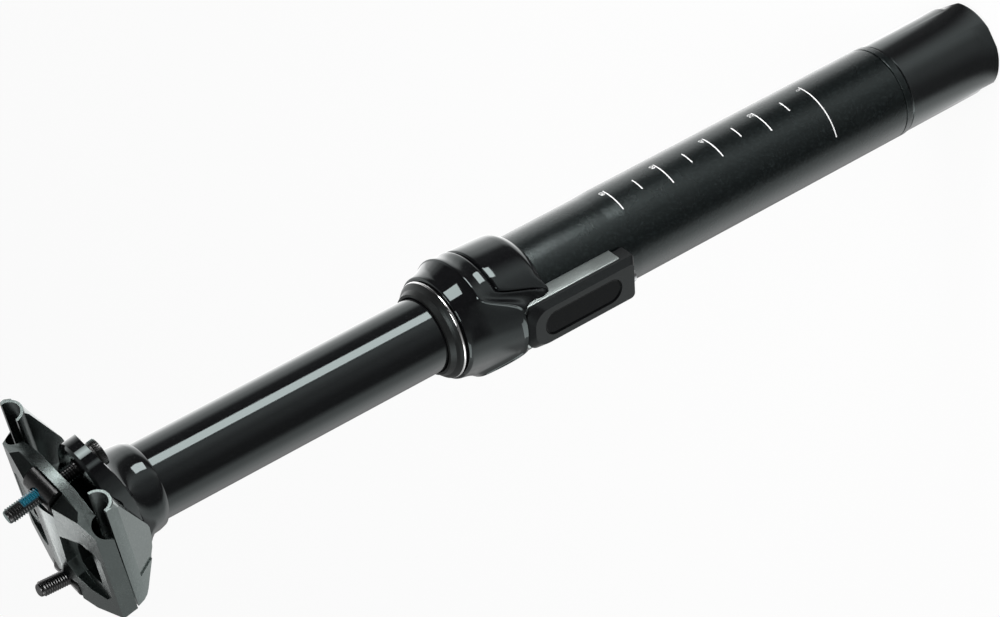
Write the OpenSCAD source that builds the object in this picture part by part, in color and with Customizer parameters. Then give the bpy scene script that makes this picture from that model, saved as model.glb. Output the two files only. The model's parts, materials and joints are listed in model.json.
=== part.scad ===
// Dropper seatpost with a side actuator pod and a two-bolt saddle clamp.
// Frame: +Z up the post, +X toward the saddle nose, +Y left, origin at the bottom cap's end face.

/* [Post] */
// travel of the stanchion into the lower tube
travel = 100; // [60:5:125]
// gap left between the head's neck and the wiper when fully down
drop_gap = 1.6; // [1:0.2:4]
// outside diameter of the lower tube
tube_od = 30.9; // [30:0.1:31.8]
// inside diameter of the lower tube
tube_bore = 27.6; // [27.4:0.1:28]
// length of the lower tube
tube_len = 164.8; // [164:0.2:200]
// outside diameter of the stanchion
stanchion_od = 24; // [23.8:0.1:24.2]
// wall of the stanchion
stanchion_wall = 1.7; // [1.4:0.1:2]
// length of stanchion held below the wiper lip when fully up
stanchion_hold = 72; // [66:1:72]

/* [Bottom cap] */
// height of the bottom cap's outside
cap_h = 38; // [36:0.5:50]
// outside diameter of the bottom cap
cap_od = 30.3; // [29.6:0.1:30.8]
// height of the band with the wrench flats
flat_band_h = 6.5; // [4:0.5:8]
// distance across the wrench flats
flat_across = 28; // [27:0.5:29.5]
// height of the lock ring above the cap
ring_h = 2.5; // [2:0.1:5]
// width of the two dark grooves beside the lock ring
groove_w = 0.4; // [0.3:0.1:0.8]

/* [Seal collar] */
// collar's lower edge below the top of the tube
collar_overlap = 18.6; // [17:0.2:20]
// largest diameter of the collar, at its ridge
collar_od = 38.7; // [38:0.1:40]
// height of the wiper lip above the top of the tube
lip_above = 16.9; // [16.4:0.1:18]
// diameter of the wiper's cap
wiper_od = 31.2; // [30.6:0.1:31.6]

/* [Actuator pod] */
// direction of the pod round the post
pod_angle = 98; // [80:1:110]
// height of the pod's outer face above the tube
pod_reach = 6.45; // [6:0.05:7.5]
// depth of the pod's cover
cover_deep = 3.2; // [3:0.1:3.5]
// width of the pod
pod_w = 15.6; // [15:0.1:17]
// length of the pod
pod_len = 41.2; // [40:0.2:42]
// pod's upper end below the top of the tube
pod_drop = 7.1; // [6.5:0.1:7.7]
// length of the oval insert
insert_len = 29.5; // [26:0.5:31]
// width of the oval insert
insert_w = 8.4; // [7:0.1:9]

/* [Saddle head] */
// height of the rail clamp's pivot above the neck
pivot_above = 23.7; // [23:0.1:26]
// tilt of the head and clamp, nose down
tilt = 12; // [8:1:14]
// radius of the round seat under the cradle
seat_r = 11.5; // [11:0.1:12]
// half the distance between the bolt seats
ear_half = 23.2; // [22.5:0.1:24]
// half width of the head at the middle
head_half_w = 14; // [13:0.5:15]
// half length of the head along its tilt
head_half_l = 28.4; // [28:0.2:30]

/* [Saddle clamp] */
// distance between the saddle rails
rail_pitch = 43; // [42.5:0.5:44]
// radius of a saddle rail
rail_r = 3.5; // [3.4:0.05:3.6]
// rear end of the rail troughs
trough_rear = 31; // [29:0.5:32]
// front end of the rail troughs
trough_front = 15.2; // [15:0.2:17]
// half length of the upper clamp at its middle
bridge_half = 24.4; // [24:0.2:25]
// height of the upper clamp's spine above the rails
bridge_top = 8.6; // [8.4:0.1:10]
// distance of the rear barrel nut from the pivot along the rails
nut_rear_u = 20; // [19.4:0.1:20.4]
// distance of the front barrel nut from the pivot along the rails
nut_front_u = 21; // [20.4:0.1:21.2]
// height of a barrel nut above the rails
nut_w = 4.4; // [4.2:0.1:4.6]
// radius of a barrel nut
nut_r = 4; // [3.8:0.1:4.2]
// length of a barrel nut
nut_len = 12; // [10:0.5:14]
// length of a clamp bolt above its swing centre
bolt_reach = 32.7; // [28:0.1:36]
// nominal diameter of a clamp bolt
bolt_d = 4.9; // [4.8:0.1:5.2]
// diameter of a bolt head
bolt_head_d = 8.5; // [8:0.1:9]

/* [Hidden] */
$fn = 96;
// radial running fit, press fit and loose gap between parts
run_fit = 0.05;
seat_fit = 0.02;
loose = 0.4;

tube_r = tube_od / 2;
tube_ri = tube_bore / 2;
stan_r = stanchion_od / 2;
stan_ri = stan_r - stanchion_wall;
ring_z0 = cap_h + groove_w;
tube_z0 = ring_z0 + ring_h + groove_w;
tube_z1 = tube_z0 + tube_len;
pod_z1 = tube_z1 - pod_drop;
pod_z0 = pod_z1 - pod_len;
// the tube tapers a little to its upper length, the collar's seat
tube_step = 0.25;
tube_seat_r = tube_r - tube_step;
tube_seat_z = pod_z0 - 1;
tube_taper = 6;
lip_z = tube_z1 + lip_above;
neck_z = lip_z + travel + drop_gap;
stan_z0 = lip_z - stanchion_hold;

// bottom cap
cap_r = cap_od / 2;
cap_floor = 4;
cap_chamfer = 0.8;
spigot_h = 9.2;
spigot_r = tube_ri - seat_fit;
spigot_z1 = cap_h + spigot_h;
foot_h = 14;
foot_r = 10.9;
foot_z1 = spigot_z1 - 1;
foot_z0 = foot_z1 - foot_h;
cap_well_r = 9.9;
cap_slot_w = 5;
cap_slot_r = 13.7;
bumper_h = 3;

// piston rod and release parts inside it
rod_r = 4;
rod_bore_r = 1.7;
rod_nut_af = 13;
rod_nut_h = 6;
rod_z0 = foot_z0 - rod_nut_h - 1.6;
gland_h = 10;
gland_z0 = stan_z0 + 3;
gland_z1 = gland_z0 + gland_h;
top_out_gap = 0.4;
piston_z0 = gland_z1 + top_out_gap;
piston_h = 10;
rod_z1 = piston_z0 + piston_h + 1.5;
valve_r = 1.6;
valve_z1 = piston_z0 - 4;
yoke_h = 4;
yoke_z0 = cap_floor + 2.4;
yoke_z1 = yoke_z0 + yoke_h;
yoke_r = 5.6;
strip_t = 0.9;
strip_half_w = 1.8;
strip_r0 = stan_r + 0.45;
strip_r1 = strip_r0 + strip_t;
spring_wire_r = 0.45;
spring_r = 3.3;
spring_turns = 4;
spring_z0 = yoke_z1 + spring_wire_r;
spring_z1 = rod_z0 - spring_wire_r;

// gas cartridge carried in the stanchion
cart_r = 8.5;
cart_ri = 7.2;
socket_top = 10;
stan_z1 = neck_z + socket_top;
plug_h = 8;
plug_z0 = stan_z1 - plug_h;
foot_ring_h = 8;

// bushings and keys
upper_bush_h = 10;
lower_bush_z0 = stan_z0 + 1.6;
lower_bush_h = 14;
lower_bush_gap = 3;
key_z0 = lower_bush_z0 + lower_bush_h + 3;
key_h = 10;
key_w = 2.4;
key_r0 = stan_r - 1;
key_r1 = tube_ri + 0.45;
key_play = 0.1;
groove_r = key_r1 + 0.2;
key_turns = [60, 180, 300];

// seal collar; heights from the top of the tube
collar_z0 = tube_z1 - collar_overlap;
collar_r = collar_od / 2;
collar_bore_r = tube_seat_r + seat_fit;
collar_top = tube_z1 + 12.3;
collar_shelf_r = tube_ri - 0.6;
wiper_well_r = 15.1;
wiper_r = wiper_well_r - seat_fit;
wiper_cap_r = wiper_od / 2;
wiper_z0 = tube_z1 + 3;
bright_r = 15.2;
bright_wire_r = 0.55;
bright_z = collar_top + 0.95;

// pod, in its own frame with x outward
pod_half_w = pod_w / 2;
pod_face = tube_r + pod_reach;
pod_split = pod_face - cover_deep;
pod_seam = 0.15;
pod_wall = 1.1;
pod_edge = 1.5;
pod_end_wrap = 4.4;
pod_cavity_z0 = pod_z0 + 14;
pod_cavity_z1 = pod_z1 - 2.6;
pod_cavity_half = 5;
pod_floor = tube_r + 0.5;
insert_t = 0.5;
insert_z = (pod_z0 + pod_z1) / 2 + 0.6;
lever_z = tube_z1 - 16.2;
lever_half_t = 1.9;
lever_tip_x = strip_r0 + 0.15;
lever_tip_r = 0.85;
lever_boss_r = 1.9;
lever_arm = 2.2;
lever_swing = 4;
pin_r = 0.75;
pin_half = pod_half_w - 1.2;
anchor_r = 1.1;
anchor_hole_r = 0.5;
anchor_x = pod_face - pod_wall - anchor_r - 0.3;
lever_x = anchor_x - lever_arm;
strip_z1 = lever_z + 3.2;
window_half = lever_tip_r + 0.2;
tube_slot_half = lever_half_t + loose;
inlet_r = 2.1;
inlet_wire_r = 0.9;
ferrule_r = 2.6;
ferrule_len = 5.4;
ferrule_stop = 1.4;
ferrule_z0 = pod_z0 + 0.3;
inlet_x = pod_face - ferrule_r - 0.35;
screw_z = pod_z0 + 9.4;
screw_r = 1.3;
screw_head_r = 2.3;
screw_head_h = 1.2;
screw_head_x = pod_face - insert_t - screw_head_h - 0.2;

// saddle head and clamp
pivot_z = neck_z + pivot_above;
ear_drop = 14.2;
ear_z = pivot_z - ear_drop / cos(tilt);
ear_under = 3;
ear_thick = 5.2;
ear_sag = 3.4;
head_power = 2.6;
washer_r = 5;
washer_half = bolt_head_d / 2 - 0.1;
ear_hole_r = 3.1;
ear_hole_h = ear_under + ear_thick + 8;
neck_r = 14;
neck_h = 4.5;
socket_r = stan_r + seat_fit;
bolt_head_h = 2.2;
rail_y = rail_pitch / 2;
trough_r = rail_r + 0.03;
trough_wall = 0.85;
cheek_out = rail_y + trough_r + trough_wall + 0.25;
cheek_in = rail_y - trough_r - trough_wall;
cheek_low = 12.6;
keel_y = rail_y + 0.2;
keel_t = 1;
panel_deep = 0.5;
panel_front = 4;
cradle_r = seat_r - run_fit;
cradle_half = 12.6;
deck_half = 9.2;
part_gap = 0.12;
band_h = 3.7;
bridge_rear = bridge_half + 0.6;
bridge_edge = rail_y + trough_r + 0.7;
bridge_crease = 23;
crease_w = 4.3;
skirt_w = 3.4;
ledge_w = 2.4;
window_floor = 4.5;
nut_seat_r = nut_r + run_fit;
nut_bore_r = bolt_d / 2 + loose;
bolt_slot_r = bolt_d / 2 + 0.8;
rear_slot_half = 0.6;
front_slot_half = 2;
bolt_swing_r = bolt_d / 2 + 1.3;

// swing centres of the bolts and the nut centres, in the post's frame
function clamp_point(u, w) = [u * cos(tilt) + w * sin(tilt), pivot_z - u * sin(tilt) + w * cos(tilt)];
seat_rear = [-ear_half * cos(tilt), ear_z + ear_half * sin(tilt)];
seat_front = [ear_half * cos(tilt), ear_z - ear_half * sin(tilt)];
nut_rear = clamp_point(-nut_rear_u, nut_w);
nut_front = clamp_point(nut_front_u, nut_w);
lean_rear = atan2(nut_rear.x - seat_rear.x, nut_rear.y - seat_rear.y);
lean_front = atan2(nut_front.x - seat_front.x, nut_front.y - seat_front.y);

black = [0.06, 0.06, 0.065];
gloss = [0.03, 0.03, 0.035];
dark = [0.17, 0.18, 0.18];
steel = [0.7, 0.71, 0.72];
brass = [0.75, 0.6, 0.3];
plastic = [0.86, 0.86, 0.82];
rubber = [0.04, 0.04, 0.04];

module tube(ro, ri, h) {
  difference() {
    cylinder(r = ro, h = h);
    translate([0, 0, -1]) cylinder(r = ri, h = h + 2);
  }
}

module pod_frame() {
  rotate([0, 0, pod_angle]) children();
}

module clamp_frame() {
  translate([0, 0, pivot_z]) rotate([0, tilt, 0]) children();
}

module bolt_frame(seat, lean) {
  translate([seat.x, 0, seat.y]) rotate([0, lean, 0]) children();
}

// bar from x0 to x1, half width y, heights z0 to z1
module block(x0, x1, y, z0, z1) {
  translate([x0, -y, z0]) cube([x1 - x0, 2 * y, z1 - z0]);
}

// cylinder along y, centred
module across(r, half) {
  rotate([90, 0, 0]) cylinder(r = r, h = 2 * half, center = true);
}

// flat shape in x and z, pushed to both sides along y
module slab(points, half) {
  rotate([90, 0, 0]) translate([0, 0, -half]) linear_extrude(2 * half) polygon(points);
}

// flat shape in y and z, pushed along x from x0 to x1
module along(points, x0, x1) {
  translate([x0, 0, 0]) rotate([90, 0, 90]) linear_extrude(x1 - x0) polygon(points);
}

// closed skin through rings of equal length, flat at both ends
module loft(rings) {
  n = len(rings[0]);
  m = len(rings);
  walls = [for (i = [0 : m - 2], k = [0 : n - 1])
    let (q = (k + 1) % n)
    each [[i * n + k, (i + 1) * n + q, i * n + q], [i * n + k, (i + 1) * n + k, (i + 1) * n + q]]];
  ends = [[for (k = [0 : n - 1]) k], [for (k = [n - 1 : -1 : 0]) (m - 1) * n + k]];
  polyhedron([for (r = rings) each r], concat(walls, ends));
}

function blend(t, a, b) = a + (b - a) * t;

function smooth(t) = let (c = min(max(t, 0), 1)) c * c * (3 - 2 * c);

module lower_tube() {
  color(black) difference() {
    rotate_extrude() polygon([[tube_ri, tube_z0], [tube_r, tube_z0], [tube_r, tube_seat_z - tube_taper],
      [tube_seat_r, tube_seat_z], [tube_seat_r, tube_z1], [tube_ri, tube_z1]]);
    for (a = key_turns)
      rotate([0, 0, pod_angle + a])
        block(tube_ri - 1, groove_r, key_w / 2 + key_play, key_z0 - travel - 4, tube_z1 + 1);
    pod_frame() block(tube_ri - 1, tube_r + 1, tube_slot_half, lever_z - lever_swing, lever_z + lever_swing);
  }
}

module tube_ring() {
  color(black) translate([0, 0, ring_z0]) tube(tube_r, spigot_r + run_fit, ring_h);
}

module bottom_cap() {
  color(black) difference() {
    rotate_extrude() polygon([[0, 0], [cap_r - cap_chamfer, 0], [cap_r, cap_chamfer], [cap_r, cap_h - 0.3],
      [cap_r - 0.3, cap_h], [spigot_r, cap_h], [spigot_r, spigot_z1], [0, spigot_z1]]);
    translate([0, 0, cap_floor]) cylinder(r = cap_well_r, h = spigot_z1);
    translate([0, 0, foot_z0]) cylinder(r = foot_r + seat_fit, h = spigot_z1);
    pod_frame() block(0, cap_slot_r, cap_slot_w / 2, yoke_z0 - 1.5, spigot_z1 + 1);
    for (a = [0 : 90 : 270])
      rotate([0, 0, a + 45]) block(flat_across / 2, cap_r + 1, cap_r, -1, flat_band_h);
  }
}

module rod_foot() {
  color(steel) translate([0, 0, foot_z0]) tube(foot_r, rod_r + seat_fit, foot_h);
}

module rod_nut() {
  color(steel) translate([0, 0, foot_z0 - rod_nut_h]) difference() {
    cylinder(d = rod_nut_af / cos(30), h = rod_nut_h, $fn = 6);
    translate([0, 0, -1]) cylinder(r = rod_r + seat_fit, h = rod_nut_h + 2);
  }
}

module bumper() {
  color(rubber) translate([0, 0, foot_z1]) tube(foot_r - 1, rod_r + 0.5, bumper_h);
}

module piston_rod() {
  color(steel) translate([0, 0, rod_z0]) tube(rod_r, rod_bore_r, rod_z1 - rod_z0);
}

module piston() {
  color(brass) translate([0, 0, piston_z0]) difference() {
    tube(cart_ri - run_fit, rod_r + seat_fit, piston_h);
    translate([0, 0, piston_h / 2 - 1]) tube(cart_ri + 1, cart_ri - 1.2, 2);
  }
}

// angles round the post from the pod, closer together beside it
collar_turns = [for (a = [-180 : 6 : -66]) a, for (a = [-60 : 2 : 60]) a, for (a = [66 : 6 : 174]) a];

// 1 beside the pod and 0 away from it
function near_pod(a, start, stop) = smooth((start - abs(a)) / (start - stop));

// the groove line and the ridge line sweep down beside the pod
function groove_line(a) = collar_z0 + 16.9 - 15.7 * near_pod(a, 50, 27);

function groove_fade(a) = 1 - near_pod(a, 38, 27);

function ridge_line(a) = blend(near_pod(a, 50, 22), collar_z0 + 23.5, pod_z1 + 0.4);

function ridge_r(a) = collar_r + 1.2 * near_pod(a, 50, 22);

function band_ring(part, r, cut = 0) = [for (a = collar_turns)
  let (q = r - cut * groove_fade(a))
  [q * cos(a), q * sin(a), blend(part, collar_z0, groove_line(a))]];

function flank_ring(part, rise, cut) = [for (a = collar_turns)
  let (r = blend(rise, collar_r - 0.45, ridge_r(a)) - cut * groove_fade(a))
  [r * cos(a), r * sin(a), blend(part, groove_line(a), ridge_line(a))]];

function barrel_ring(part, fall) = [for (a = collar_turns)
  let (r = blend(fall, ridge_r(a), collar_r - 2.9))
  [r * cos(a), r * sin(a), blend(part, ridge_line(a), collar_top)]];

module collar_body() {
  pod_frame() loft([band_ring(0, tube_r + 0.5), band_ring(0.035, tube_r + 1), band_ring(0.1, collar_r - 2.1),
    band_ring(0.2, collar_r - 1.15), band_ring(0.5, collar_r - 0.9), band_ring(0.8, collar_r - 0.7),
    band_ring(0.95, collar_r - 0.65), band_ring(0.97, collar_r - 0.65, 0.55), flank_ring(0.05, 0, 0.75),
    flank_ring(0.1, 0, 0), flank_ring(0.35, 0.3, 0), flank_ring(0.65, 0.75, 0), flank_ring(0.9, 1, 0),
    flank_ring(1, 1, 0.12), barrel_ring(0.08, 0.15), barrel_ring(0.22, 0.38), barrel_ring(0.4, 0.58),
    barrel_ring(0.58, 0.73), barrel_ring(0.8, 0.84), barrel_ring(0.95, 0.9), barrel_ring(1, 1)]);
  pod_frame() block(0, pod_split, pod_half_w, pod_z0 + pod_end_wrap, pod_z1);
}

module seal_collar() {
  color(gloss) difference() {
    collar_body();
    translate([0, 0, pod_z0 - 5]) cylinder(r = collar_bore_r, h = tube_z1 - pod_z0 + 5);
    translate([0, 0, tube_z1 - 1]) cylinder(r = collar_shelf_r, h = collar_top);
    translate([0, 0, wiper_z0]) cylinder(r = wiper_well_r, h = collar_top);
    pod_frame() {
      block(pod_split, pod_face + 3, pod_half_w + 2, pod_z0 - 5, pod_z1 + 0.2);
      block(pod_floor, pod_split + 1, pod_cavity_half, pod_cavity_z0, pod_cavity_z1);
      block(0, pod_floor + 1, tube_slot_half, lever_z - lever_swing, lever_z + lever_swing);
      translate([lever_x, 0, lever_z]) across(pin_r + seat_fit, pin_half + 0.1);
      block(lever_x, pod_split + 1, pin_half + 0.1, lever_z - pin_r, lever_z + pin_r);
      translate([pod_floor, 0, screw_z]) rotate([0, 90, 0]) cylinder(r = screw_r, h = pod_split, $fn = 48);
      cable_way();
    }
  }
}

// pocket for the ferrule and the hole for the cable behind it
module cable_way() {
  pocket = ferrule_z0 - pod_z0 + ferrule_len + 0.2;
  wire_way = pod_cavity_z0 - pod_z0 + 1;
  translate([inlet_x, 0, pod_z0 - 1]) cylinder(r = ferrule_r + seat_fit, h = pocket + 1);
  translate([inlet_x, 0, pod_z0]) cylinder(r = inlet_wire_r + loose, h = wire_way, $fn = 48);
}

// outer shell of the pod with a sloped rim, over its lower end
module pod_cover() {
  color(black) pod_frame() difference() {
    union() {
      hull() {
        cover_corners(pod_split + pod_seam, 1, 1.2, 4, 0);
        cover_corners(pod_face - 0.6, 0.6, 1.5, 5, pod_edge);
      }
      difference() {
        block(tube_r - 1, pod_split + 1, pod_half_w - 0.4, pod_z0, pod_z0 + pod_end_wrap - pod_seam);
        translate([0, 0, pod_z0 - 5]) cylinder(r = collar_bore_r + 0.2, h = 20);
      }
    }
    block(pod_split - 1, pod_face - pod_wall, pod_cavity_half, pod_cavity_z0, pod_cavity_z1);
    insert_shape(insert_t + 0.1, 0.1);
    cable_way();
    translate([0, 0, screw_z]) rotate([0, 90, 0]) {
      cylinder(r = screw_r + 0.2, h = pod_face, $fn = 48);
      translate([0, 0, screw_head_x]) cylinder(r = screw_head_r + 0.2, h = 3, $fn = 48);
    }
  }
}

// four round corners of the cover's outline at one depth, wider at its upper end
module cover_corners(x, deep, r_low, r_top, inset) {
  for (s = [-1, 1]) {
    cover_corner(x, deep, r_low, s * (pod_half_w - inset - r_low), pod_z0 + inset + r_low);
    cover_corner(x, deep, r_top, s * (pod_half_w - inset - r_top), pod_z1 - inset - r_top);
  }
}

module cover_corner(x, deep, r, y, z) {
  translate([x, y, z]) rotate([0, 90, 0]) cylinder(r = r, h = deep, $fn = 48);
}

// stadium-shaped slab in the pod's outer face
module insert_shape(deep, grow) {
  side = insert_len / 2 - insert_w / 2;
  translate([pod_face - deep, 0, insert_z]) rotate([0, 90, 0]) linear_extrude(deep + (grow > 0 ? 1 : -0.1)) {
    translate([-side, 0]) circle(r = insert_w / 2 + grow);
    translate([side, 0]) circle(r = insert_w / 2 + grow);
    square([2 * side, insert_w + 2 * grow], center = true);
  }
}

module cover_insert() {
  color(gloss) pod_frame() insert_shape(insert_t, 0);
}

module cover_screw() {
  color(steel) pod_frame() translate([pod_floor + loose, 0, screw_z]) rotate([0, 90, 0]) {
    shank = screw_head_x - pod_floor - loose;
    cylinder(r = screw_r - seat_fit, h = shank, $fn = 48);
    translate([0, 0, shank]) cylinder(r = screw_head_r, h = screw_head_h, $fn = 48);
  }
}

// stop for the cable housing, flush with the pod's lower end
module inlet_ferrule() {
  color(steel) pod_frame() translate([inlet_x, 0, ferrule_z0]) difference() {
    cylinder(r = ferrule_r, h = ferrule_len);
    translate([0, 0, -1]) cylinder(r = inlet_r, h = ferrule_len - ferrule_stop + 1);
    cylinder(r = inlet_wire_r, h = ferrule_len + 1, $fn = 48);
  }
}

module lever_pin() {
  color(steel) pod_frame() translate([lever_x, 0, lever_z]) across(pin_r, pin_half);
}

module wiper_seal() {
  lip_r = stan_r + run_fit;
  color(rubber) difference() {
    rotate_extrude() polygon([[lip_r + 0.5, wiper_z0 + 0.3], [wiper_r, wiper_z0 + 0.3],
      [wiper_r, collar_top + 0.2], [wiper_cap_r, collar_top + 0.3], [wiper_cap_r, collar_top + 1.5],
      [wiper_cap_r - 0.7, collar_top + 2.3], [wiper_cap_r - 1.6, lip_z - 1.6], [lip_r + 1.1, lip_z],
      [lip_r + 0.3, lip_z + 0.1], [lip_r, lip_z - 0.7], [lip_r, lip_z - 1.4], [lip_r + 0.6, lip_z - 3],
      [lip_r + 0.6, wiper_z0 + 4], [lip_r, wiper_z0 + 2.6], [lip_r, wiper_z0 + 1.8]]);
    translate([0, 0, bright_z - bright_wire_r - 0.05])
      tube(wiper_cap_r + 2, bright_r - bright_wire_r - 0.1, 2 * bright_wire_r + 0.1);
  }
}

module wiper_ring() {
  color(steel) rotate_extrude() translate([bright_r, bright_z]) circle(r = bright_wire_r, $fn = 24);
}

module upper_bushing() {
  color(plastic) translate([0, 0, tube_z1 - upper_bush_h])
    tube(tube_ri - seat_fit, stan_r + run_fit, upper_bush_h - 0.1);
}

// rocker on the pin: the inner tip lifts the strip, the outer arm takes the cable
module release_lever() {
  color(steel) pod_frame() translate([lever_x, 0, lever_z]) difference() {
    union() {
      across(lever_boss_r, lever_half_t);
      block(0, lever_arm + 0.4, lever_half_t, -lever_boss_r, lever_boss_r);
      block(lever_tip_x - lever_x + lever_tip_r, 0, 1.1, -lever_tip_r, lever_tip_r);
      translate([lever_tip_x - lever_x + lever_tip_r, 0, 0]) across(lever_tip_r, 1.1);
    }
    across(pin_r + run_fit, lever_half_t + 1);
    translate([lever_arm, 0, 0]) across(anchor_r + seat_fit, lever_half_t + 1);
  }
}

module cable_anchor() {
  color(brass) pod_frame() translate([anchor_x, 0, lever_z]) difference() {
    across(anchor_r, lever_half_t + 1);
    cylinder(r = anchor_hole_r, h = 4 * anchor_r, center = true, $fn = 32);
  }
}

// thin strip down the gap between the stanchion and the tube
module release_rod() {
  color(steel) pod_frame() difference() {
    block(strip_r0, strip_r1, strip_half_w, yoke_z0, strip_z1);
    block(strip_r0 - 1, strip_r1 + 1, 1.3, lever_z - window_half, lever_z + window_half);
  }
}

module release_yoke() {
  color(steel) pod_frame() difference() {
    union() {
      translate([0, 0, yoke_z0]) cylinder(r = yoke_r, h = yoke_h);
      block(0, strip_r0 - 0.02, strip_half_w, yoke_z0, yoke_z1);
    }
    translate([0, 0, yoke_z0 - 1]) cylinder(r = valve_r + seat_fit, h = yoke_h + 2, $fn = 64);
  }
}

module valve_pin() {
  color(steel) translate([0, 0, yoke_z0]) cylinder(r = valve_r, h = valve_z1 - yoke_z0, $fn = 64);
}

// one unbroken tube: turns of eight rings with six sides each
module release_spring() {
  steps = spring_turns * 8;
  rise = (spring_z1 - spring_z0) / steps;
  rings = [for (i = [0 : steps], k = [0 : 5])
    let (a = i * 45, b = k * 60, r = spring_r + spring_wire_r * cos(b))
    [r * cos(a), r * sin(a), spring_z0 + i * rise + spring_wire_r * sin(b)]];
  walls = [for (i = [0 : steps - 1], k = [0 : 5])
    let (n = (k + 1) % 6)
    each [[i * 6 + k, i * 6 + n, (i + 1) * 6 + n], [i * 6 + k, (i + 1) * 6 + n, (i + 1) * 6 + k]]];
  last = steps * 6;
  ends = [[5, 4, 3, 2, 1, 0], [last, last + 1, last + 2, last + 3, last + 4, last + 5]];
  echo(least_spring_gap = rise * 8 - 2 * spring_wire_r);
  color(steel) polyhedron(concat(rings), concat(walls, ends));
}

module stanchion() {
  color(gloss) difference() {
    translate([0, 0, stan_z0]) tube(stan_r, stan_ri, stan_z1 - stan_z0);
    for (a = key_turns)
      rotate([0, 0, pod_angle + a])
        block(key_r0, stan_r + 1, key_w / 2 + seat_fit, key_z0 - seat_fit, key_z0 + key_h + seat_fit);
  }
}

// round neck, flared up into a tilted flange with an ear for each bolt
head_turns = [for (k = [0 : 89]) k * 4];

function power(x, e) = sign(x) * pow(abs(x), e);

function neck_point(t, r, h) = [r * cos(t), r * sin(t), neck_z + h];

// point of the flange's outline, w above the bolts' swing centres
function flange_point(t, w, inset, sag) =
  let (u = (head_half_l - inset) * power(cos(t), 2 / head_power),
    y = (head_half_w - inset) * power(sin(t), 2 / head_power),
    v = w - sag * sin(t) * sin(t))
  [u * cos(tilt) + v * sin(tilt), y, ear_z - u * sin(tilt) + v * cos(tilt)];

function neck_ring(r, h) = [for (t = head_turns) neck_point(t, r, h)];

function flange_ring(w, inset, sag) = [for (t = head_turns) flange_point(t, w, inset, sag)];

function flare_ring(k) = [for (t = head_turns)
  let (a = neck_point(t, neck_r, neck_h), b = flange_point(t, ear_under, 0.8, ear_sag),
    h = 1 - cos(k), v = sin(k))
  [blend(h, a.x, b.x), blend(h, a.y, b.y), blend(v, a.z, b.z)]];

module saddle_head() {
  color(gloss) difference() {
    loft([neck_ring(stan_r + 0.8, 0), neck_ring(stan_r + 1.3, 0.5), neck_ring(neck_r - 0.2, 2.4),
      neck_ring(neck_r, neck_h), flare_ring(18), flare_ring(36), flare_ring(54), flare_ring(72),
      flange_ring(ear_under, 0.8, ear_sag), flange_ring(ear_under + 0.4, 0, ear_sag),
      flange_ring(ear_under + ear_thick - 0.8, 0, 0), flange_ring(ear_under + ear_thick, 0.8, 0)]);
    translate([0, 0, neck_z - 1]) cylinder(r = socket_r, h = socket_top + 1 + seat_fit);
    clamp_frame() across(seat_r, head_half_w + 5);
    bolt_frame(seat_rear, lean_rear) bolt_seat();
    bolt_frame(seat_front, lean_front) bolt_seat();
  }
}

// clearance hole with a half-round seat below it
module bolt_seat() {
  cylinder(r = ear_hole_r, h = ear_hole_h, $fn = 64);
  across(washer_r + run_fit, washer_half + loose);
}

module lower_bushing() {
  color(plastic) difference() {
    translate([0, 0, lower_bush_z0]) tube(tube_ri - run_fit, stan_r + seat_fit, lower_bush_h);
    pod_frame() translate([0, 0, lower_bush_z0])
      block(stan_r - 1, tube_ri + 1, lower_bush_gap, -1, lower_bush_h + 1);
  }
}

module guide_keys() {
  color(brass) for (a = key_turns)
    rotate([0, 0, pod_angle + a]) block(key_r0 + seat_fit, key_r1, key_w / 2, key_z0, key_z0 + key_h);
}

module stanchion_foot() {
  color(steel) translate([0, 0, stan_z0]) difference() {
    cylinder(r = stan_ri - seat_fit, h = foot_ring_h);
    translate([0, 0, -1]) cylinder(r = rod_r + 1.4, h = foot_ring_h + 2);
    translate([0, 0, gland_z0 - stan_z0]) cylinder(r = cart_r + seat_fit, h = foot_ring_h);
  }
}

module cartridge_body() {
  color(steel) translate([0, 0, gland_z0]) tube(cart_r, cart_ri, plug_z0 + 3 - gland_z0);
}

module cartridge_gland() {
  color(brass) translate([0, 0, gland_z0]) tube(cart_ri - seat_fit, rod_r + run_fit, gland_h);
}

module cartridge_plug() {
  color(steel) translate([0, 0, plug_z0]) difference() {
    cylinder(r = stan_ri - seat_fit, h = plug_h);
    translate([0, 0, -1]) tube(stan_ri + 1, cart_ri - seat_fit, 4 + seat_fit);
  }
}

// two rail troughs on delta cheeks, joined by a deck over the round seat
module lower_cradle() {
  color(dark) clamp_frame() difference() {
    union() {
      intersection() {
        across(cradle_r, cradle_half);
        block(-cradle_r, cradle_r, cradle_half, -cradle_r, -part_gap);
      }
      block(-deck_half, deck_half, cheek_in + 1, -4.4, -part_gap);
      for (s = [0, 1]) mirror([0, s, 0]) intersection() {
        slab(cheek_shape(), cheek_out);
        along(cheek_section(), -trough_rear, trough_front);
      }
      intersection() {
        for (s = [-1, 1]) translate([-trough_rear, s * rail_y, 0]) rotate([0, 90, 0])
          cylinder(r = trough_r + trough_wall, h = trough_rear + trough_front - 2);
        block(-trough_rear - 1, trough_front + 1, cheek_out + 5, -9, -part_gap);
      }
    }
    for (s = [-1, 1]) {
      translate([0, s * rail_y, 0]) rotate([0, 90, 0]) cylinder(r = trough_r, h = 90, center = true);
      mirror([0, s < 0 ? 1 : 0, 0]) along(panel_section(), -trough_rear - 1, panel_front);
    }
  }
}

// side view of a cheek, deepest below the middle of the trough
function cheek_shape() = [[-trough_rear, -part_gap], [-trough_rear, -1.7], [-trough_rear + 1.5, -band_h],
  [-trough_rear + 3.3, -4.9], [-8.2, -cheek_low + 0.4], [-6.2, -cheek_low], [-2.4, -cheek_low + 0.3],
  [1.3, -cheek_low + 1.3], [trough_front - 3.4, -4.8], [trough_front - 0.9, -2.4], [trough_front, -part_gap]];

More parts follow.
